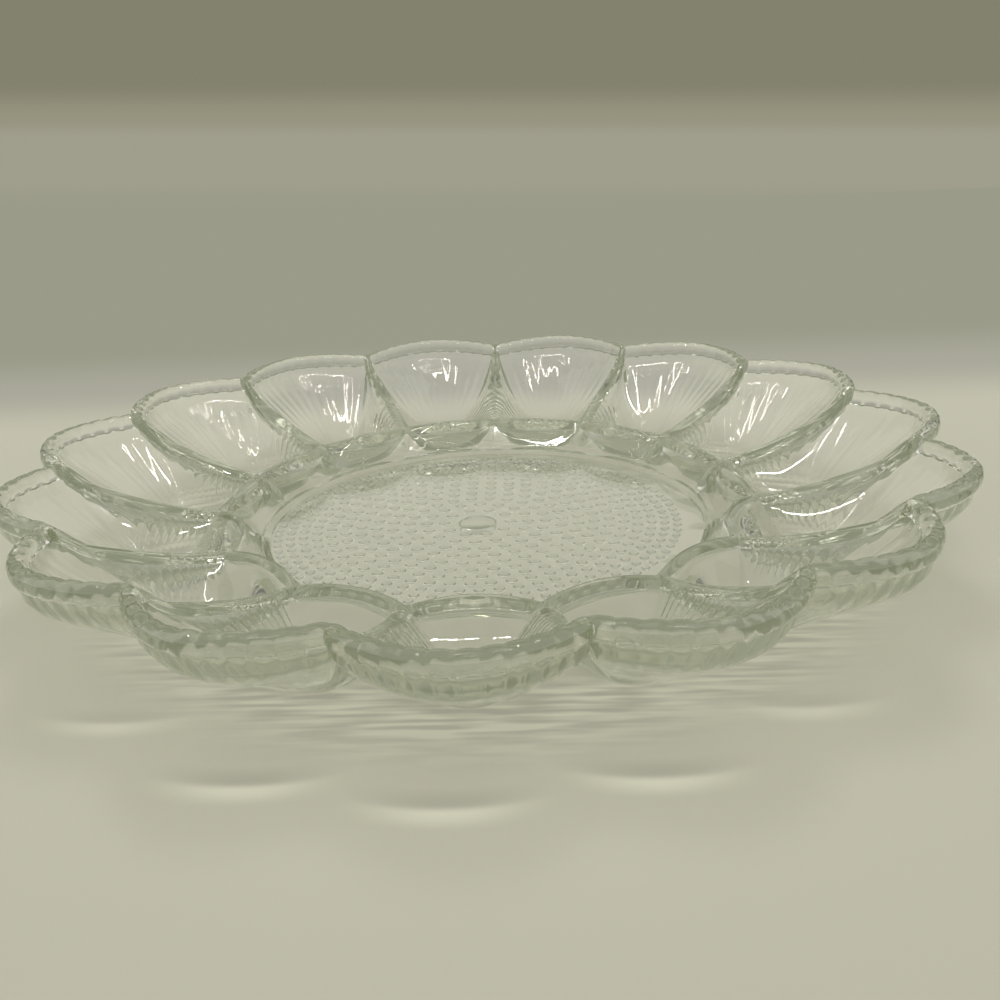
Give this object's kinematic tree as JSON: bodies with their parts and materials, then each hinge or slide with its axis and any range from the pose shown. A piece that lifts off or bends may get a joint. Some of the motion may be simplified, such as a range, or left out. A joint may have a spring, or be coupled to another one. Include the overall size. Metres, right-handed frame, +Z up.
{
  "type": "deviled egg platter",
  "caption": "Round pressed-glass platter: a ring of fluted, scalloped wells for egg halves round a raised collar and a flat centre plate with hobnails beneath.",
  "frame": {"origin": "on the table under the middle of the platter, where the axis of its ring of wells meets the table", "axes": "+Z up along the platter's axis, well_01 towards -Y, the wells numbered anticlockwise seen from above"},
  "size_m": [0.2786, 0.2771, 0.035],
  "materials": {
    "pressed_glass": "polished"
  },
  "bodies": {
    "root": {"centre_plate": "pressed_glass", "collar_ring": "pressed_glass", "well_01": "pressed_glass", "well_02": "pressed_glass", "well_03": "pressed_glass", "well_04": "pressed_glass", "well_05": "pressed_glass", "well_06": "pressed_glass", "well_07": "pressed_glass", "well_08": "pressed_glass", "well_09": "pressed_glass", "well_10": "pressed_glass", "well_11": "pressed_glass", "well_12": "pressed_glass", "well_13": "pressed_glass", "well_14": "pressed_glass", "well_15": "pressed_glass", "foot_pad_01": "pressed_glass", "foot_pad_02": "pressed_glass", "foot_pad_03": "pressed_glass", "foot_pad_04": "pressed_glass", "foot_pad_05": "pressed_glass", "foot_pad_06": "pressed_glass", "foot_pad_07": "pressed_glass", "foot_pad_08": "pressed_glass", "foot_pad_09": "pressed_glass", "foot_pad_10": "pressed_glass", "foot_pad_11": "pressed_glass", "foot_pad_12": "pressed_glass", "foot_pad_13": "pressed_glass", "foot_pad_14": "pressed_glass", "foot_pad_15": "pressed_glass"}
  },
  "joints": []
}
